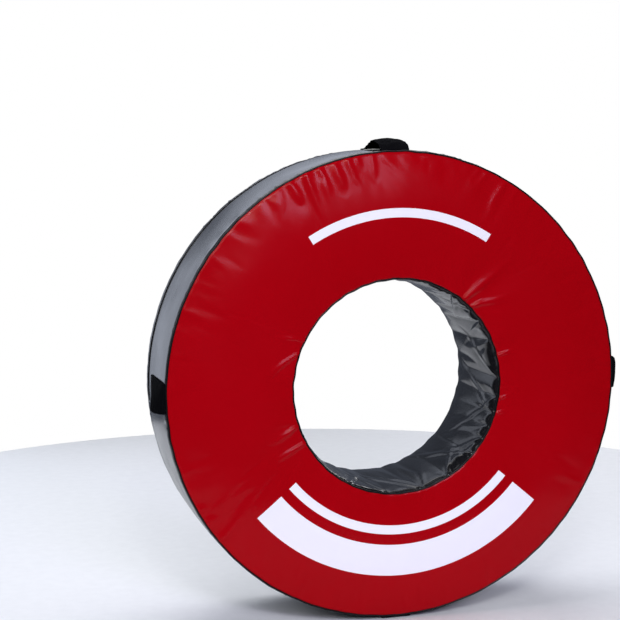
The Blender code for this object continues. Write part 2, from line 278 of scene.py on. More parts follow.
def weight_group(piece, name, weights):
    group = piece.vertex_groups.new(name=name)
    for index in np.nonzero(weights > 0.001)[0]:
        group.add([int(index)], float(weights[index]), "REPLACE")
    return group.name


def settle_cloth(piece, held, fullness, spare_share, swell, stiffness):
    """Let a panel that is cut too full near its seams find its own puckers."""
    modifier = piece.modifiers.new("settle", "CLOTH")
    cloth = modifier.settings
    cloth.quality = 6
    cloth.mass = 0.35
    cloth.tension_stiffness = 40
    cloth.compression_stiffness = 40
    cloth.shear_stiffness = 12
    cloth.bending_stiffness = stiffness
    cloth.air_damping = 4
    cloth.vertex_group_mass = weight_group(piece, "held", held)
    cloth.vertex_group_shrink = weight_group(piece, "fullness", fullness)
    cloth.shrink_min = 0
    cloth.shrink_max = -spare_share
    cloth.use_pressure = True
    cloth.uniform_pressure_force = swell
    cloth.effector_weights.gravity = 0
    modifier.collision_settings.use_collision = False
    modifier.point_cache.frame_start = 1
    modifier.point_cache.frame_end = settle_frames
    scene = bpy.context.scene
    for number in range(1, settle_frames + 1):
        scene.frame_set(number)
    graph = bpy.context.evaluated_depsgraph_get()
    settled = piece.evaluated_get(graph).data
    points = np.empty(len(settled.vertices) * 3)
    settled.vertices.foreach_get("co", points)
    piece.modifiers.remove(modifier)
    piece.vertex_groups.clear()
    scene.frame_set(1)
    return points.reshape(-1, 3)


def keep_clear(piece, base, points, most):
    """Hold the settled cloth over the foam, and within a distance of its pattern."""
    normals = vertex_normals(piece)
    move = points - base
    lift = (move * normals).sum(axis=1)
    slide = move - lift[:, None] * normals
    lift = np.where(
        lift < 0,
        inward_room * np.tanh(lift / inward_room),
        most * np.tanh(lift / most),
    )
    return base + slide * slide_share + lift[:, None] * normals


def vertex_normals(piece):
    normals = np.empty(len(piece.data.vertices) * 3)
    piece.data.vertices.foreach_get("normal", normals)
    return normals.reshape(-1, 3)


# Where the seams wander: radius, axial place, size of the wander, waves round
seam_wanders = (
    (outer_seam_radius, -outer_seam_reach, 0.0003, 24, 90, 11),
    (outer_seam_radius, outer_seam_reach, 0.0003, 24, 90, 12),
    (bore_seam_radius, -bore_seam_reach, 0.0005, 12, 44, 13),
    (bore_seam_radius, bore_seam_reach, 0.0005, 12, 44, 14),
)
wander_reach = 0.030


def wander(points):
    """Every piece near a seam follows the seam's small unevenness."""
    radius, angle, axial = polar(points)
    new_radius, new_axial = radius.copy(), axial.copy()
    for seam_radius, seam_axial, size, slowest, fastest, seed in seam_wanders:
        distance = np.hypot(radius - seam_radius, axial - seam_axial)
        weight = size * np.exp(-(distance / wander_reach) ** 2)
        new_radius += weight * ripple(angle, seed, slowest, fastest)
        new_axial += weight * ripple(angle, seed + 100, slowest, fastest)
    return unpolar(new_radius, angle, new_axial)


def let_wander(piece):
    set_points(piece, wander(get_points(piece)))


def angle_from(angle, place):
    return (angle - place + half_turn) % full_turn - half_turn


def patchiness(angle, seed, peaks=()):
    """How strongly a seam is gathered round the ring, from 0 to 1."""
    level = 0.35 + 0.20 * ripple(angle, seed, 3, 14)
    for centre, spread in peaks:
        level = level + 0.8 * np.exp(-(angle_from(angle, centre) / spread) ** 2)
    return np.clip(level, 0.06, 1)


def seam_distance(points, seam_radius, seam_axial):
    radius, _, axial = polar(points)
    return np.hypot(radius - seam_radius, axial - seam_axial)


def choose_folds(seed, count, lengths, widths, heights, slant, peaks=()):
    """Folds round a seam: place, length, width, height and slant of each."""
    chooser = np.random.default_rng(seed)
    places = chooser.uniform(0, full_turn, count)
    strength = patchiness(places, seed + 1, peaks)
    return list(zip(
        places,
        chooser.uniform(*lengths, count) * (0.4 + 0.6 * strength),
        chooser.uniform(*widths, count),
        chooser.uniform(*heights, count) * strength,
        chooser.uniform(-slant, slant, count),
    ))


def fold_lift(angle, depth, seam_radius, folds):
    """Height of folds that start at a seam and die out across the sheet."""
    lift = np.zeros(len(angle))
    for place, length, width, height, slant in folds:
        turn = angle_from(angle, place)
        spread = 2 * length * (abs(slant) + 4 * width / length) + 3 * width
        near = np.nonzero(
            (np.abs(turn) < spread / seam_radius) & (depth < 2 * length)
        )[0]
        deep = depth[near]
        across = turn[near] * seam_radius - slant * deep
        across /= width * (0.7 + deep / length)
        growth = 1 - np.exp(-deep / (0.5 * width))
        fading = np.exp(-2 * (deep / length) ** 2)
        crest = height * growth * fading * (1 - across ** 2)
        lift[near] += crest * np.exp(-across ** 2 / 2)
    return lift


# Where the photographed face is puckered most, as angle and spread
outer_pucker_peaks = (
    (math.radians(108), math.radians(13)), (math.radians(124), math.radians(8)),
)
bore_pucker_peaks = (
    (math.radians(38), math.radians(24)), (math.radians(350), math.radians(14)),
    (math.radians(180), math.radians(26)),
)


def add_subdivision(piece, levels=1):
    modifier = piece.modifiers.new("fine", "SUBSURF")
    modifier.levels = levels
    modifier.render_levels = levels
    return modifier


def add_thickness(piece, thickness=cover_thickness, offset=-1):
    modifier = piece.modifiers.new("thickness", "SOLIDIFY")
    modifier.thickness = thickness
    modifier.offset = offset
    return modifier


def lay_cover(piece, lift, seams, fullness, spare_share, swell, stiffness, most):
    """Lift a sheet into its folds, let it settle, and keep it over the foam."""
    base = get_points(piece)
    normals = vertex_normals(piece)
    held = np.zeros(len(base))
    for seam_radius, seam_axial in seams:
        distance = seam_distance(base, seam_radius, seam_axial)
        held = np.maximum(held, distance < sewn_distance)
    folded = base + normals * lift[:, None]
    set_points(piece, folded)
    settled = folded
    settled = settle_cloth(piece, held, fullness, spare_share, swell, stiffness)
    set_points(piece, base)
    set_points(piece, keep_clear(piece, base, settled, most))
    let_wander(piece)


# The clearest puckers of the front face: degrees at the seam, then a fold's sizes
rim_puckers = (
    (124, 0.060, 0.0110, 0.0016, 0.10), (119, 0.090, 0.0120, 0.0022, -0.10),
    (114.7, 0.125, 0.0105, 0.0024, 0.05), (110.7, 0.090, 0.0100, 0.0022, 0.00),
    (106.9, 0.105, 0.0110, 0.0024, -0.05), (103.6, 0.085, 0.0095, 0.0018, -0.15),
    (100.8, 0.060, 0.0090, 0.0014, 0.10), (97.2, 0.100, 0.0085, 0.0015, 0.00),
)
bore_creases = (
    (51.5, 0.160, 0.0095, 0.0048, -0.15), (46.4, 0.085, 0.0080, 0.0040, -0.53),
    (15, 0.060, 0.0055, 0.0030, 0.00), (-9, 0.050, 0.0055, 0.0030, 0.50),
    (-17, 0.050, 0.0055, 0.0028, 0.50), (153, 0.100, 0.0060, 0.0028, 0.20),
    (159.5, 0.080, 0.0080, 0.0042, 1.00), (198.3, 0.085, 0.0070, 0.0038, 0.19),
    (208, 0.110, 0.0075, 0.0038, 0.00),
)

# How the face swells beside its rim seam, and waves between its seams
face_puff_height = 0.0035
face_puff_rise = 0.028
face_puff_reach = 0.13
face_wave_height = 0.0010
face_wave_turns = 9
face_plain_distance = 0.06


def placed_folds(rows):
    """Folds whose places are written in degrees, as fold_lift takes them."""
    return [(math.radians(row[0]), *row[1:]) for row in rows]


def make_face(name, side, material, node, seed, peaks_outer, peaks_bore):
    piece = spun(name, face_skin(side), face_steps, material=material)
    face_outwards(piece, forwards if side < 0 else backwards)
    points = get_points(piece)
    _, angle, _ = polar(points)
    outer_seam = (outer_seam_radius, side * outer_seam_reach)
    bore_seam = (bore_seam_radius, side * bore_seam_reach)
    outer = seam_distance(points, *outer_seam)
    inner = seam_distance(points, *bore_seam)
    broad = choose_folds(
        seed, 58, lengths=(0.06, 0.11), widths=(0.010, 0.016),
        heights=(0.0018, 0.0034), slant=0.35,
    )
    small = choose_folds(
        seed + 2, 110, lengths=(0.015, 0.05), widths=(0.005, 0.009),
        heights=(0.0004, 0.0011), slant=0.5, peaks=peaks_outer,
    )
    round_bore = choose_folds(
        seed + 4, 20, lengths=(0.04, 0.12), widths=(0.0045, 0.009),
        heights=(0.0010, 0.0022), slant=0.9, peaks=peaks_bore,
    )
    if side < 0:
        broad += placed_folds(rim_puckers)
        round_bore += placed_folds(bore_creases)
    gathered = patchiness(angle, seed + 1, peaks_outer)
    puff = 1 - np.exp(-outer / face_puff_rise)
    puff = puff * np.exp(-(outer / face_puff_reach) ** 2)
    lift = (
        fold_lift(angle, outer, outer_seam_radius, broad + small)
        + fold_lift(angle, inner, bore_seam_radius, round_bore)
        + face_puff_height * gathered * puff
    )
    middle = np.clip(np.minimum(outer, inner) / face_plain_distance, 0, 1)
    across, up = points[:, 0] * face_wave_turns, points[:, 2] * face_wave_turns
    waves = np.sin(across + 1.3 * np.sin(up))
    waves = waves + np.sin(1.3 * up + 1.1 * np.sin(across + seed))
    lift += face_wave_height * middle * waves
    fullness = np.clip(
        np.exp(-outer / 0.045) * gathered
        + np.exp(-inner / 0.040) * patchiness(angle, seed + 5, peaks_bore), 0, 1,
    )
    lay_cover(
        piece, lift, (outer_seam, bore_seam), fullness,
        spare_share=0.055, swell=1.0, stiffness=0.45, most=0.009,
    )
    add_subdivision(piece)
    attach(piece, "roller")
    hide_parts(node)


# The sleeve's scallops at the front seam: the degrees each spans, and its size
front_scallops = (
    (74, 58, 0.30), (58, 45, 0.25), (45, 36, 0.45), (36, 24, 0.30), (24, 3, 1.0),
    (3, -8, 0.45), (-8, -17, 0.60), (-17, -25, 0.40), (-25, -32, 0.45),
    (-32, -42, 0.30), (-42, -60, 0.90), (-60, -76, 0.22), (-76, -95, 0.10),
    (-95, -118, 0.08),
)
slack_scallop_sizes = (0.0, 0.12)
scallop_widths = (8, 20)
least_scallop_depth = 0.005
more_scallop_depth = 0.034
least_scallop_height = 0.002
more_scallop_height = 0.015
scallop_fading = 0.075
sleeve_fullness_height = 0.0012

# Where the sleeve is gathered most, and how far round from there it still is
gathers_middle = math.radians(-22)
gathers_span = math.radians(112)
gathers_fading = math.radians(16)
least_gathers = 0.25


def scallop_row(seed, start, end, sizes):
    """More scallops of uneven width, from one angle down to another."""
    chooser = np.random.default_rng(seed)
    row = []
    least_width = scallop_widths[0]
    while start - end > least_width:
        width = float(chooser.uniform(*scallop_widths))
        stop = end if start - width < end + least_width else start - width
        row.append((start, stop, float(chooser.uniform(*sizes))))
        start = stop
    return tuple(row)


def scallop_lift(angle, depth, scallops):
    """The sleeve sags away from the seam between the stitches that pinch it."""
    lift = np.zeros(len(angle))
    for start, end, size in scallops:
        middle, half = math.radians((start + end) / 2), math.radians((start - end) / 2)
        place = angle_from(angle, middle) / half
        inside = np.abs(place) < 1
        lens = np.cos(place[inside] * quarter_turn) ** 0.7
        reach = least_scallop_depth + more_scallop_depth * size * lens
        rise = np.clip(depth[inside] / reach, 0, 1)
        rise = rise * rise * (3 - 2 * rise)
        fading = np.exp(-np.clip(depth[inside] - reach, 0, None) / scallop_fading)
        height = least_scallop_height + more_scallop_height * size
        lift[inside] += height * lens * rise * fading
    return lift


def pinch_creases(seed, scallops):
    """A long crease across the sleeve from each stitch that pinches it."""
    chooser = np.random.default_rng(seed)
    return [
        (
            math.radians(start), float(chooser.uniform(0.10, 0.24)),
            float(chooser.uniform(0.005, 0.009)), float(chooser.uniform(0.0025, 0.005)),
            float(chooser.uniform(-0.7, 0.7)),
        )
        for start, _, _ in scallops
    ]


def make_bore(material):
    piece = spun("bore_lining", bore_skin(), bore_steps, material=material)
    face_outwards(piece, towards_axle)
    points = get_points(piece)
    _, angle, _ = polar(points)
    front_seam = (bore_seam_radius, -bore_seam_reach)
    rear_seam = (bore_seam_radius, bore_seam_reach)
    front = seam_distance(points, *front_seam)
    rear = seam_distance(points, *rear_seam)
    front_row = front_scallops + scallop_row(34, -118, -286, slack_scallop_sizes)
    rear_row = scallop_row(35, 180, -180, slack_scallop_sizes)
    creases = choose_folds(
        36, 60, lengths=(0.08, 0.20), widths=(0.004, 0.009),
        heights=(0.0010, 0.0030), slant=0.7,
    ) + pinch_creases(37, front_row)
    rear_creases = choose_folds(
        38, 50, lengths=(0.05, 0.14), widths=(0.004, 0.009),
        heights=(0.0006, 0.0014), slant=0.7,
    )
    from_gathers = np.abs(angle_from(angle, gathers_middle))
    gathered = np.clip(
        (gathers_span - from_gathers) / gathers_fading, least_gathers, 1,
    )
    lift = (
        gathered * scallop_lift(angle, front, front_row)
        + gathered * fold_lift(angle, front, bore_radius, creases)
        + scallop_lift(angle, rear, rear_row)
        + fold_lift(angle, rear, bore_radius, rear_creases)
        + sleeve_fullness_height * np.clip(np.minimum(front, rear) / 0.02, 0, 1)
    )
    fullness = np.clip(
        gathered * np.exp(-front / 0.06) + 0.4 * np.exp(-rear / 0.05), 0, 1,
    )
    lay_cover(
        piece, lift, (front_seam, rear_seam), fullness,
        spare_share=0.05, swell=0.8, stiffness=0.3, most=0.019,
    )
    add_subdivision(piece)
    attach(piece, "roller")
    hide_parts("bore_sleeve")


rim_ripple_height = 0.0004
point_clearance = 0.001
join_distance = 0.0002
rim_gathers = {
    side: choose_folds(
        seed, 230, lengths=(0.012, 0.050), widths=(0.003, 0.006),
        heights=(0.0006, 0.0018), slant=0.4, peaks=outer_pucker_peaks,
    )
    for side, seed in ((-1, 41), (1, 44))
}


def lift_rim(points):
    """The rim's slow unevenness and its gathers at the seams."""
    radius, angle, axial = polar(points)
    lift = rim_ripple_height * ripple(angle + axial * 0.8, 47, 6, 24)
    for side, gathers in rim_gathers.items():
        depth = seam_distance(points, outer_seam_radius, side * outer_seam_reach)
        lift += fold_lift(angle, depth, outer_seam_radius, gathers)
    lift = np.where(lift < 0, inward_room * np.tanh(lift / inward_room), lift)
    return unpolar(radius + lift, angle, axial)


def make_rim(material):
    """The rim panel, in two arcs that leave the zip's window open between them."""
    section = rim_skin()
    window_low = zip_axial - flap_reach
    window_high = zip_axial + flap_reach
    start = zip_start_angle - window_end_margin / roller_radius
    end = zip_end_angle + window_end_margin / roller_radius
    edge_radius = roller_radius - rim_crown * (zip_axial / rim_flat_reach) ** 2
    before = [point for point in section if point[1] < window_low - point_clearance]
    inside = [point for point in section if window_low < point[1] < window_high]
    after = [point for point in section if point[1] > window_high + point_clearance]
    low_edge, high_edge = [(edge_radius, window_low)], [(edge_radius, window_high)]
    open_steps = round(rim_steps * (end - start) / full_turn)
    pieces = [
        spun("rim_front_strip", before + low_edge, open_steps, start, end - start),
        spun("rim_rear_strip", high_edge + after, open_steps, start, end - start),
        spun(
            "rim_cover", before + low_edge + inside + high_edge + after,
            rim_steps - open_steps, end, full_turn - (end - start),
        ),
    ]
    bm = bmesh.new()
    for piece in pieces:
        bm.from_mesh(piece.data)
    for piece in pieces:
        bpy.data.objects.remove(piece, do_unlink=True)
    bmesh.ops.remove_doubles(bm, verts=bm.verts, dist=join_distance)
    bmesh.ops.recalc_face_normals(bm, faces=bm.faces)
    piece = finish_piece("rim_cover", bm, material)
    face_outwards(piece, away_from_axle)
    set_points(piece, lift_rim(get_points(piece)))
    let_wander(piece)
    add_thickness(piece)
    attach(piece, "roller")
    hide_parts("rim_band")


def make_piping(name, seam_radius, seam_axial, material):
    circle = [
        (
            seam_radius + piping_radius * math.cos(angle),
            seam_axial + piping_radius * math.sin(angle),
        )
        for angle in np.linspace(0, full_turn, 10, endpoint=False)
    ]
    piece = spun(name + "_cord", circle, rim_steps, material=material, closed=True)
    bm = bmesh.new()
    bm.from_mesh(piece.data)
    bmesh.ops.recalc_face_normals(bm, faces=bm.faces)
    bm.to_mesh(piece.data)
    bm.free()
    piece.data.shade_smooth()
    let_wander(piece)
    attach(piece, "roller")
    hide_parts(name)


# Materials


def start_material(name):
    material = bpy.data.materials.new(name)
    material.use_nodes = True
    tree = material.node_tree
    return material, tree, tree.nodes["Principled BSDF"]


def add_node(tree, kind, **inputs):
    """A node, with its sockets set to values or joined to other sockets."""
    node = tree.nodes.new("ShaderNode" + kind)
    for name, value in inputs.items():
        key = int(name[1:]) if name[0] == "i" and name[1:].isdigit() else name
        if isinstance(key, str) and hasattr(node, key):
            setattr(node, key, value)
            continue
        key = key if isinstance(key, int) else key.replace("_", " ").title()
        if isinstance(value, bpy.types.NodeSocket):
            tree.links.new(value, node.inputs[key])
        else:
            node.inputs[key].default_value = value
    return node


def maths(tree, operation, first, second=0.0):
    node = add_node(tree, "Math", operation=operation, i0=first, i1=second)
    return node.outputs[0]


def between(tree, value, low, high):
    above = maths(tree, "GREATER_THAN", value, low)
    below = maths(tree, "LESS_THAN", value, high)
    return maths(tree, "MULTIPLY", above, below)


def ring_coordinates(tree):
    """The place, the distance from the axle line, and the angle from straight down."""
    place = add_node(tree, "TexCoord").outputs["Object"]
    centred = add_node(
        tree, "Mapping", vector_type="POINT", Vector=place,
        Location=(-ring_centre.x, 0, -ring_centre.z),
    ).outputs[0]
    parts = add_node(tree, "SeparateXYZ", Vector=centred)
    across, up = parts.outputs[0], parts.outputs[2]
    flat = add_node(tree, "CombineXYZ", i0=across, i2=up).outputs[0]
    radius = add_node(tree, "VectorMath", operation="LENGTH", i0=flat).outputs["Value"]
    down = maths(tree, "MULTIPLY", up, -1.0)
    from_bottom = maths(tree, "ABSOLUTE", maths(tree, "ARCTAN2", across, down))
    return place, radius, from_bottom


def coated_cloth(tree, shader, place, roughness, relief=0.10):
    """PVC-coated cloth: a glossy skin with the weave just showing through it."""
    uneven = add_node(tree, "TexNoise", Vector=place, Scale=9.0, Detail=4.0)
    gloss = add_node(
        tree, "MapRange", i0=uneven.outputs[0], i1=0.3, i2=0.7,
        i3=roughness * 0.8, i4=roughness * 1.25,
    )
    tree.links.new(gloss.outputs[0], shader.inputs["Roughness"])
    threads = []
    for direction in ("X", "Z"):
        threads.append(add_node(
            tree, "TexWave", bands_direction=direction, Vector=place, Scale=240.0,
            Distortion=0.4,
        ).outputs["Fac"])
    weave = maths(tree, "ADD", threads[0], threads[1])
    peel = add_node(tree, "TexNoise", Vector=place, Scale=420.0, Detail=2.0)
    height = maths(tree, "ADD", maths(tree, "MULTIPLY", weave, 0.35), peel.outputs[0])
    bump = add_node(tree, "Bump", Strength=relief, Distance=0.0003, Height=height)
    tree.links.new(bump.outputs[0], shader.inputs["Normal"])


def make_black_vinyl(name, roughness, lightest, specular=0.5):
    material, tree, shader = start_material(name)
    shader.inputs["Specular IOR Level"].default_value = specular
    place = add_node(tree, "TexCoord").outputs["Object"]
    coated_cloth(tree, shader, place, roughness, 0.04)
    tone = add_node(tree, "TexNoise", Vector=place, Scale=5.0, Detail=5.0)
    ramp = add_node(tree, "ValToRGB", i0=tone.outputs[0])
    tones = ((0.4, 0.42, 0.5), (0.8, 0.85, 1))
    for element, shares in zip(ramp.color_ramp.elements, tones):
        element.color = (*(share * lightest for share in shares), 1)
    tree.links.new(ramp.outputs[0], shader.inputs["Base Color"])
    return material


# The plain white marking: where each band lies on the face, in metres and degrees
lower_band = (0.405, 0.485, 50)
lower_line = (0.355, 0.378, 50)
upper_line = (0.430, 0.453, 32)


def make_red_vinyl():
    material, tree, shader = start_material("red_vinyl")
    place, radius, from_bottom = ring_coordinates(tree)
    coated_cloth(tree, shader, place, 0.20)
    shader.inputs["Specular IOR Level"].default_value = 0.08
    tone = add_node(tree, "TexNoise", Vector=place, Scale=4.0, Detail=6.0)
    red = add_node(tree, "ValToRGB", i0=tone.outputs[0])
    red.color_ramp.elements[0].color = (0.325, 0.0003, 0.003, 1)
    red.color_ramp.elements[1].color = (0.380, 0.0005, 0.005, 1)
    from_top = maths(tree, "SUBTRACT", half_turn, from_bottom)
    marks = None
    for (inner, outer, span), spread in (
        (lower_band, from_bottom), (lower_line, from_bottom), (upper_line, from_top),
    ):
        band = between(tree, radius, inner, outer)
        ends = maths(tree, "LESS_THAN", spread, math.radians(span))
        mark = maths(tree, "MULTIPLY", band, ends)
        marks = mark if marks is None else maths(tree, "MAXIMUM", marks, mark)
    paint = add_node(
        tree, "Mix", data_type="RGBA", i0=marks, i6=red.outputs[0],
        i7=(0.88, 0.88, 0.96, 1),
    )
    tree.links.new(paint.outputs[2], shader.inputs["Base Color"])
    return material


def make_webbing_material():
    """Heavy webbing: ribs along the strap crossed by close picks, from its UV map."""
    material, tree, shader = start_material("webbing")
    place = add_node(tree, "TexCoord").outputs["UV"]
    ribs = add_node(
        tree, "TexWave", bands_direction="X", Vector=place, Scale=130.0,
    ).outputs["Fac"]
    picks = add_node(
        tree, "TexWave", bands_direction="Y", Vector=place, Scale=260.0,
        Distortion=1.0,
    ).outputs["Fac"]
    height = maths(tree, "ADD", ribs, maths(tree, "MULTIPLY", picks, 0.6))
    bump = add_node(tree, "Bump", Strength=0.6, Distance=0.0005, Height=height)
    tree.links.new(bump.outputs[0], shader.inputs["Normal"])
    # The colour follows the weave's height: darker where the weave sits low, which is
    # painted shade in the grooves between ribs and picks, on top of the bump's real
    # shading.
    ramp = add_node(tree, "ValToRGB", i0=height)
    ramp.color_ramp.elements[0].color = (0.0008, 0.0008, 0.0010, 1)
    ramp.color_ramp.elements[1].color = (0.0040, 0.0040, 0.0055, 1)
    tree.links.new(ramp.outputs[0], shader.inputs["Base Color"])
    shader.inputs["Roughness"].default_value = 0.95
    shader.inputs["Specular IOR Level"].default_value = 0.02
    return material


def make_tape_material():
    material, tree, shader = start_material("zip_cloth")
    place = add_node(tree, "TexCoord").outputs["Object"]
    threads = add_node(
        tree, "TexWave", bands_direction="Y", Vector=place, Scale=380.0,
    ).outputs["Fac"]
    fuzz = add_node(tree, "TexNoise", Vector=place, Scale=900.0).outputs[0]
    height = maths(tree, "ADD", threads, fuzz)
    bump = add_node(tree, "Bump", Strength=0.4, Distance=0.0003, Height=height)
    tree.links.new(bump.outputs[0], shader.inputs["Normal"])
    ramp = add_node(tree, "ValToRGB", i0=fuzz)
    ramp.color_ramp.elements[0].color = (0.006, 0.006, 0.007, 1)
    ramp.color_ramp.elements[1].color = (0.022, 0.022, 0.025, 1)
    tree.links.new(ramp.outputs[0], shader.inputs["Base Color"])
    shader.inputs["Roughness"].default_value = 0.85
    return material


def make_worn_material(name, dark, light, roughness, metallic, scale):
    """A hard finish with faint blotches and a fine tooth in its gloss."""
    material, tree, shader = start_material(name)
    place = add_node(tree, "TexCoord").outputs["Object"]
    blotch = add_node(tree, "TexNoise", Vector=place, Scale=scale, Detail=6.0)
    ramp = add_node(tree, "ValToRGB", i0=blotch.outputs[0])
    ramp.color_ramp.elements[0].color = (*dark, 1)
    ramp.color_ramp.elements[1].color = (*light, 1)
    tree.links.new(ramp.outputs[0], shader.inputs["Base Color"])
    gloss = add_node(
        tree, "MapRange", i0=blotch.outputs[0], i1=0.3, i2=0.7,
        i3=roughness * 0.8, i4=roughness * 1.3,
    )
    tree.links.new(gloss.outputs[0], shader.inputs["Roughness"])
    bump = add_node(
        tree, "Bump", Strength=0.15, Distance=0.0002, Height=blotch.outputs[0],
    )
    tree.links.new(bump.outputs[0], shader.inputs["Normal"])
    shader.inputs["Metallic"].default_value = metallic
    return material


red_vinyl = make_red_vinyl()
black_vinyl = make_black_vinyl("black_vinyl", 0.22, 0.015)
sleeve_vinyl = make_black_vinyl("sleeve_vinyl", 0.17, 0.014, 0.32)
piping_vinyl = make_black_vinyl("piping_vinyl", 0.34, 0.004, 0.2)
webbing = make_webbing_material()
zip_cloth = make_tape_material()
zip_nylon = make_worn_material(
    "zip_nylon", (0.008, 0.008, 0.009), (0.020, 0.020, 0.022), 0.38, 0.0, 300.0,
)
zip_metal = make_worn_material(
    "zip_metal", (0.030, 0.030, 0.033), (0.075, 0.075, 0.080), 0.32, 0.9, 400.0,
)
thread = make_worn_material(
    "thread", (0.010, 0.010, 0.012), (0.028, 0.028, 0.032), 0.6, 0.0, 700.0,
)
foam = make_worn_material(
    "foam", (0.20, 0.21, 0.23), (0.38, 0.39, 0.41), 0.95, 0.0, 160.0,
)

# Handles

# Shares of the way along a strap, of its climb over the rim's edge, and of its arch
arch_path_shares = (
    (0, 0, 0), (0.025, 0.50, 0.10), (0.047, 0.72, 0.26), (0.093, 1, 0.50),
    (0.19, 1, 0.78), (0.29, 1, 0.95), (0.38, 1, 1), (0.50, 1, 0.82), (0.61, 1, 0.50),
    (0.72, 1, 0.20), (0.80, 1, 0.04), (0.86, 1, 0), (1, 1, 0),
)
flat_path_shares = (
    (0, 0, 0), (0.016, 0.50, 0), (0.030, 0.72, 0), (0.060, 1, 0), (0.50, 1, 0),
    (0.94, 1, 0), (0.970, 0.72, 0), (0.984, 0.50, 0), (1, 0, 0),
)
arch_crown_share = 0.2
strap_columns = 12
drawn_thickness_share = 0.94
strap_bend_height = 0.0007
strap_dent_height = 0.0005
strap_free_height = 0.010
tail_reach = zip_axial - window_width / 2 - tail_zip_gap
strap_end_angle = seam_angle - math.asin((piping_radius + fit_gap) / edge_roll_radius)
strap_end_angle -= fit_gap / edge_roll_radius
strap_roll_radius = edge_roll_radius + fit_gap + strap_thickness / 2
strap_end_radius = outer_roll_centre + strap_roll_radius * math.cos(strap_end_angle)
strap_end_reach = rim_flat_reach + strap_roll_radius * math.sin(strap_end_angle)

# For each handle: its angle, path, rear end, arch height and the arch's lean
handle_places = {
    "top_handle": (math.radians(91.1), arch_path_shares, tail_reach, arch_height, 0.05),
    "left_handle": (
        math.radians(180.6), arch_path_shares, tail_reach, left_arch_height, 0.9,
    ),
    "right_handle": (math.radians(1), arch_path_shares, tail_reach, arch_height, 0.12),
    "bottom_handle": (math.radians(270), flat_path_shares, strap_end_reach, 0, 0),
}


def crumple(piece, angle, lying_radius):
    """Fix the strap's smooth shape and crease it a little where it stands free."""
    graph = bpy.context.evaluated_depsgraph_get()
    smooth = bpy.data.meshes.new_from_object(piece.evaluated_get(graph))
    piece.modifiers.clear()
    piece.data = smooth
    points, normals = get_points(piece), vertex_normals(piece)
    radius, turn, axial = polar(points)
    across = angle_from(turn, angle) * roller_radius
    free = np.clip((radius - lying_radius) / strap_free_height, 0, 1)
    bend = np.sin(axial * 310 + 1.9 * np.sin(across * 95) + angle)
    dent = np.sin(across * 150 + 2.2 * np.sin(axial * 120 + 2 * angle))
    lift = free * (strap_bend_height * bend + strap_dent_height * dent)
    set_points(piece, points + normals * lift[:, None])


def make_handle(name, material):
    angle, path_shares, rear_reach, height, lean_share = handle_places[name]
    rows = len(path_shares)
    lying_radius = roller_radius + fit_gap + strap_thickness / 2
    bm = bmesh.new()
    bmesh.ops.create_grid(bm, x_segments=strap_columns, y_segments=rows - 1, size=1)
    layer = bm.loops.layers.uv.new("strap")
    for panel in bm.faces:
        for loop in panel.loops:
            loop[layer].uv = (
                loop.vert.co.x * strap_width / 2, loop.vert.co.y * strap_end_reach,
            )
    for corner in bm.verts:
        across = corner.co.x
        row = round((corner.co.y + 1) / 2 * (rows - 1))
        along_share, climb_share, arch_share = path_shares[row]
        lean = (1 + lean_share * across) * (1 - arch_crown_share * across ** 2)
        radius = (
            strap_end_radius + (lying_radius - strap_end_radius) * climb_share
            + height * arch_share * lean
        )
        turn = across * strap_width / 2 / roller_radius if height else 0
        corner.co = Vector((
            radius * math.cos(turn),
            strap_end_reach * (along_share - 1) + rear_reach * along_share,
            radius * math.sin(turn) if height else across * strap_width / 2,
        ))
    bmesh.ops.rotate(
        bm, verts=bm.verts, cent=Vector(), matrix=Matrix.Rotation(-angle, 3, "Y"),
    )
    bmesh.ops.translate(bm, verts=bm.verts, vec=ring_centre)
    bmesh.ops.recalc_face_normals(bm, faces=bm.faces)
    piece = finish_piece(name + "_strap", bm, material)
    face_outwards(piece, away_from_axle)
    add_subdivision(piece, 2)
    crumple(piece, angle, lying_radius)
    add_thickness(piece, strap_thickness * drawn_thickness_share, 0)
    edge = piece.modifiers.new("edge", "BEVEL")
    edge.width = strap_thickness / 4
    edge.segments = 2
    edge.limit_method = "ANGLE"
    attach(piece, "roller")
    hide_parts(name)


# Stitches

stitch_length = 0.0034
stitch_pitch = 0.0046
stitch_width = 0.0007
stitch_height = 0.0005
stitch_line_insets = (0.002, 0.0055)
tail_box_near_share = 0.105
tail_box_far_share = 0.015
tail_box_width_share = 0.42


def add_block(bm, angle, radius, axial, size, slope=0.0):
    """A small block at an angle round the ring, leaning by its slope."""
    bmesh.ops.create_cube(
        bm, size=1,
        matrix=Matrix.Rotation(-angle, 4, "Y") @ Matrix.Translation((radius, axial, 0))
        @ Matrix.Rotation(slope, 4, "X") @ Matrix.Diagonal((*size, 1)),
    )


def finish_blocks(name, bm, material, bevel, place=None):
    """Round the blocks' edges a little and put them where the ring is."""
    bmesh.ops.bevel(
        bm, geom=bm.edges[:], offset=bevel, segments=1, affect="EDGES", profile=0.5,
        material=-1,
    )
    bmesh.ops.translate(bm, verts=bm.verts, vec=ring_centre)
    piece = finish_piece(name, bm, material)
    if place:
        set_points(piece, place(get_points(piece)))
    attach(piece, "roller")
    return piece


def rim_radius_at(axial):
    return roller_radius - rim_crown * (axial / rim_flat_reach) ** 2


def make_window_stitches(material):
    """Two lines of stitches that hold each zip tape under the window's edge."""
    bm = bmesh.new()
    size = (stitch_height, stitch_width, stitch_length)
    count = round((zip_end_angle - zip_start_angle) * roller_radius / stitch_pitch)
    for side in (-1, 1):
        for inset in stitch_line_insets:
            axial = zip_axial + side * (flap_reach + inset)
            for angle in np.linspace(zip_start_angle, zip_end_angle, count):
                add_block(bm, angle, rim_radius_at(axial), axial, size)
    piece = finish_blocks(
        "window_stitches", bm, material, stitch_height / 3,
        lambda points: wander(lift_rim(points)),
    )


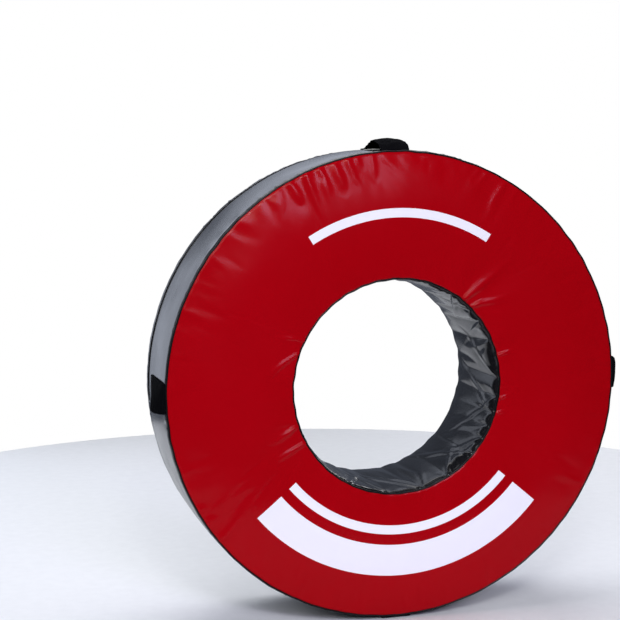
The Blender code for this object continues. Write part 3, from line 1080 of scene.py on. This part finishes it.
def make_tail_stitches(name, material):
    """A stitched box with a cross through it on the handle's tail."""
    angle, _, rear_reach, _, _ = handle_places[name]
    span = strap_end_reach + rear_reach
    near = rear_reach - tail_box_near_share * span
    far = rear_reach - tail_box_far_share * span
    half = strap_width * tail_box_width_share
    corners = ((near, -half), (far, -half), (far, half), (near, half))
    lines = list(zip(corners, corners[1:] + corners[:1]))
    lines += [(corners[0], corners[2]), (corners[1], corners[3])]
    radius = roller_radius + fit_gap + strap_thickness
    bm = bmesh.new()
    for (first_axial, first_across), (last_axial, last_across) in lines:
        length = math.hypot(last_axial - first_axial, last_across - first_across)
        slope = math.atan2(first_axial - last_axial, last_across - first_across)
        for share in np.linspace(0, 1, max(3, round(length / stitch_pitch)) + 1)[:-1]:
            across = first_across + (last_across - first_across) * share
            axial = first_axial + (last_axial - first_axial) * share
            add_block(
                bm, angle + across / roller_radius, radius, axial,
                (stitch_height, stitch_width, stitch_length), slope,
            )
    piece = finish_blocks(name + "_stitches", bm, material, stitch_height / 3)


# Zip

tooth_pitch = 0.0031
tooth_centre_gap = 0.0003
tooth_head_length = 0.0023
tooth_foot_length = 0.0014
tooth_foot_height_share = 0.85
tape_edge_distance = 0.0013
tape_points = 9


def make_tape(side, word, material):
    """One zip tape, a flat strip from beside the teeth to under the rim panel."""
    inner, outer = side * tape_edge_distance, side * tape_half_span
    extra = (window_end_margin + tape_overlap) / roller_radius
    axials = np.linspace(zip_axial + inner, zip_axial + outer, tape_points)
    section = [(tape_bottom_radius, axial) for axial in axials]
    section += [(tape_top_radius, axial) for axial in axials[::-1]]
    piece = spun(
        word + "_tape", section, tape_steps, zip_start_angle - extra,
        zip_end_angle - zip_start_angle + 2 * extra, material, closed=True,
    )
    bm = bmesh.new()
    bm.from_mesh(piece.data)
    bmesh.ops.holes_fill(bm, edges=bm.edges, sides=0)
    bmesh.ops.recalc_face_normals(bm, faces=bm.faces)
    bm.to_mesh(piece.data)
    bm.free()
    piece.data.shade_flat()
    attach(piece, "roller")
    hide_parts(word + "_zip_tape")


def make_teeth(side, word, material):
    """A row of moulded teeth, each with a head at the middle and a foot on the tape."""
    margin = (stop_length + fit_gap + tooth_pitch / 2) / roller_radius
    start, end = zip_start_angle + margin, zip_end_angle - margin
    count = round((end - start) * roller_radius / tooth_pitch)
    pitch = (end - start) / count
    head = (tooth_centre_gap, row_gap / 2 + 0.4 * row_width)
    foot = (row_gap / 2 + 0.3 * row_width, row_gap / 2 + row_width)
    bm = bmesh.new()
    for index in range(count):
        angle = start + pitch * (index + (0.5 if side > 0 else 0.0))
        for (near, far), length, height in (
            (head, tooth_head_length, row_height),
            (foot, tooth_foot_length, tooth_foot_height_share * row_height),
        ):
            axial = zip_axial + side * (near + far) / 2
            size = (height, far - near, length)
            add_block(bm, angle, teeth_middle_radius, axial, size)
    piece = finish_blocks(word + "_teeth", bm, material, 0.0003)
    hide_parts(word + "_tooth_row")


def soften(node_name, name, body, material, width):
    """A small metal piece with its sharp edges rounded off."""
    node = bpy.data.objects[node_name]
    bm = bmesh.new()
    bm.from_mesh(node.data)
    bmesh.ops.transform(bm, matrix=node.matrix_world, verts=bm.verts)
    bmesh.ops.remove_doubles(bm, verts=bm.verts, dist=0.00002)
    bmesh.ops.dissolve_limit(
        bm, angle_limit=math.radians(2), verts=bm.verts, edges=bm.edges,
    )
    piece = finish_piece(name, bm, material)
    edge = piece.modifiers.new("edge", "BEVEL")
    edge.width = width
    edge.segments = 2
    edge.limit_method = "ANGLE"
    edge.angle_limit = math.radians(40)
    edge.harden_normals = False
    piece.data.set_sharp_from_angle(angle=math.radians(40))
    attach(piece, body)
    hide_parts(node_name)


make_face(
    "front_face_cover", -1, red_vinyl, "front_face_panel", 21,
    outer_pucker_peaks, bore_pucker_peaks,
)
make_face("rear_face_cover", 1, black_vinyl, "rear_face_panel", 26, (), ())
make_bore(sleeve_vinyl)
make_rim(black_vinyl)
for word, side in (("front", -1), ("rear", 1)):
    make_piping(
        word + "_rim_piping", outer_seam_radius, side * outer_seam_reach, piping_vinyl,
    )
    make_piping(
        word + "_bore_piping", bore_seam_radius, side * bore_seam_reach, piping_vinyl,
    )
for handle_name in handle_places:
    make_handle(handle_name, webbing)
for handle_name in ("top_handle", "left_handle", "right_handle"):
    make_tail_stitches(handle_name, thread)
make_window_stitches(thread)
for side, word in ((-1, "front"), (1, "rear")):
    make_tape(side, word, zip_cloth)
    make_teeth(side, word, zip_nylon)
soften("zip_closed_stop", "closed_stop", "roller", zip_metal, 0.0004)
soften("zip_open_stop", "open_stop", "roller", zip_metal, 0.0004)
soften("zip_slider", "slider_body", "slider", zip_metal, 0.00025)
soften("zip_puller", "puller_tab", "puller", zip_metal, 0.0003)

for node_name in ("front_foam_slab", "middle_foam_slab", "rear_foam_slab"):
    node = bpy.data.objects[node_name]
    node.data.materials.clear()
    node.data.materials.append(foam)

# Studio

floor_radius = 1.9
floor_centre = (0, 0.6, 0)
camera_yaw = math.radians(-15.41)
camera_pitch = math.radians(6.0)
camera_distance = 6.224 * outer_seam_radius
camera_aim_x = -0.326 * outer_seam_radius
camera_aim_z = 0.315 * outer_seam_radius
camera_lens = 83.2
sensor_width = 36.0


def make_floor():
    bm = bmesh.new()
    bmesh.ops.create_circle(bm, cap_ends=True, segments=96, radius=floor_radius)
    bmesh.ops.translate(bm, verts=bm.verts, vec=floor_centre)
    material, tree, shader = start_material("floor_paint")
    place = add_node(tree, "TexCoord").outputs["Object"]
    speck = add_node(tree, "TexNoise", Vector=place, Scale=30.0).outputs[0]
    ramp = add_node(tree, "ValToRGB", i0=speck)
    ramp.color_ramp.elements[0].color = (0.69, 0.705, 0.735, 1)
    ramp.color_ramp.elements[1].color = (0.75, 0.765, 0.795, 1)
    tree.links.new(ramp.outputs[0], shader.inputs["Base Color"])
    shader.inputs["Roughness"].default_value = 0.9
    floor = finish_piece("floor", bm, material)


def make_light(name, place, aim, size, power, size_y=None, colour=(1, 1, 1)):
    light = bpy.data.lights.new(name, "AREA")
    light.shape = "RECTANGLE"
    light.size = size
    light.size_y = size_y or size
    light.energy = power
    light.color = colour
    lamp = bpy.data.objects.new(name, light)
    lamp.location = place
    lamp.rotation_mode = "QUATERNION"
    lamp.rotation_quaternion = (Vector(aim) - Vector(place)).to_track_quat("-Z", "Y")
    bpy.context.scene.collection.objects.link(lamp)


def make_world():
    """A white room that the gloss shows as dim behind and dark in front."""
    world = bpy.data.worlds.new("studio")
    world.use_nodes = True
    bpy.context.scene.world = world
    tree = world.node_tree
    background = tree.nodes["Background"]
    direction = add_node(tree, "TexCoord").outputs["Generated"]
    parts = add_node(tree, "SeparateXYZ", Vector=direction)
    ramp = add_node(tree, "ValToRGB")
    shade = add_node(tree, "MapRange", i0=parts.outputs[1], i1=-0.35, i2=0.35)
    tree.links.new(shade.outputs[0], ramp.inputs[0])
    ramp.color_ramp.elements[0].color = (0.045, 0.045, 0.048, 1)
    ramp.color_ramp.elements[1].color = (0.12, 0.135, 0.175, 1)
    seen = add_node(tree, "LightPath").outputs["Is Camera Ray"]
    room = add_node(
        tree, "Mix", data_type="RGBA", i0=seen, i6=ramp.outputs[0], i7=(1, 1, 1, 1),
    )
    tree.links.new(room.outputs[2], background.inputs["Color"])
    background.inputs["Strength"].default_value = 1.0


def make_camera():
    camera = bpy.data.objects.new("camera", bpy.data.cameras.new("camera"))
    camera.data.lens = camera_lens
    camera.data.sensor_width = sensor_width
    back = Vector((
        math.sin(camera_yaw) * math.cos(camera_pitch),
        -math.cos(camera_yaw) * math.cos(camera_pitch),
        math.sin(camera_pitch),
    ))
    aim = ring_centre + Vector((camera_aim_x, 0, camera_aim_z))
    camera.location = aim + back * camera_distance
    camera.rotation_mode = "QUATERNION"
    camera.rotation_quaternion = (-back).to_track_quat("-Z", "Y")
    bpy.context.scene.collection.objects.link(camera)
    bpy.context.scene.camera = camera


make_floor()
make_world()
middle = (0, 0, 0.6)
cool = (0.86, 0.92, 1.06)
make_light("key", (-1.5, -4.5, 3.4), middle, 3.6, 150, 2.8)
make_light(
    "front_panel", (0.45, -4.3, 2.25), (-0.2, 0, 0.9), 1.2, 48, 1.0, (0.92, 0.84, 1.25),
)
make_light("sparkle", (-0.9, -3.6, 2.8), middle, 0.5, 34)
make_light("left_panel", (-1.6, 2.0, 1.2), (-0.6, 0, 0.6), 1.7, 10, 2.2, cool)
make_light("top_panel", (-0.3, 2.0, 2.05), (0, 0, 1.2), 2.4, 6, 1.0, cool)
make_light("overhead", (0, 0.9, 3.8), middle, 3.4, 102)
make_light("rear_panel", (2.6, 3.0, 1.9), middle, 1.6, 30)
make_light("left_side", (-4.2, 0.4, 2.6), middle, 1.6, 22)
make_light("right_side", (4.2, 0.4, 2.6), middle, 1.6, 22)
make_camera()
bpy.context.scene.view_settings.view_transform = "Standard"
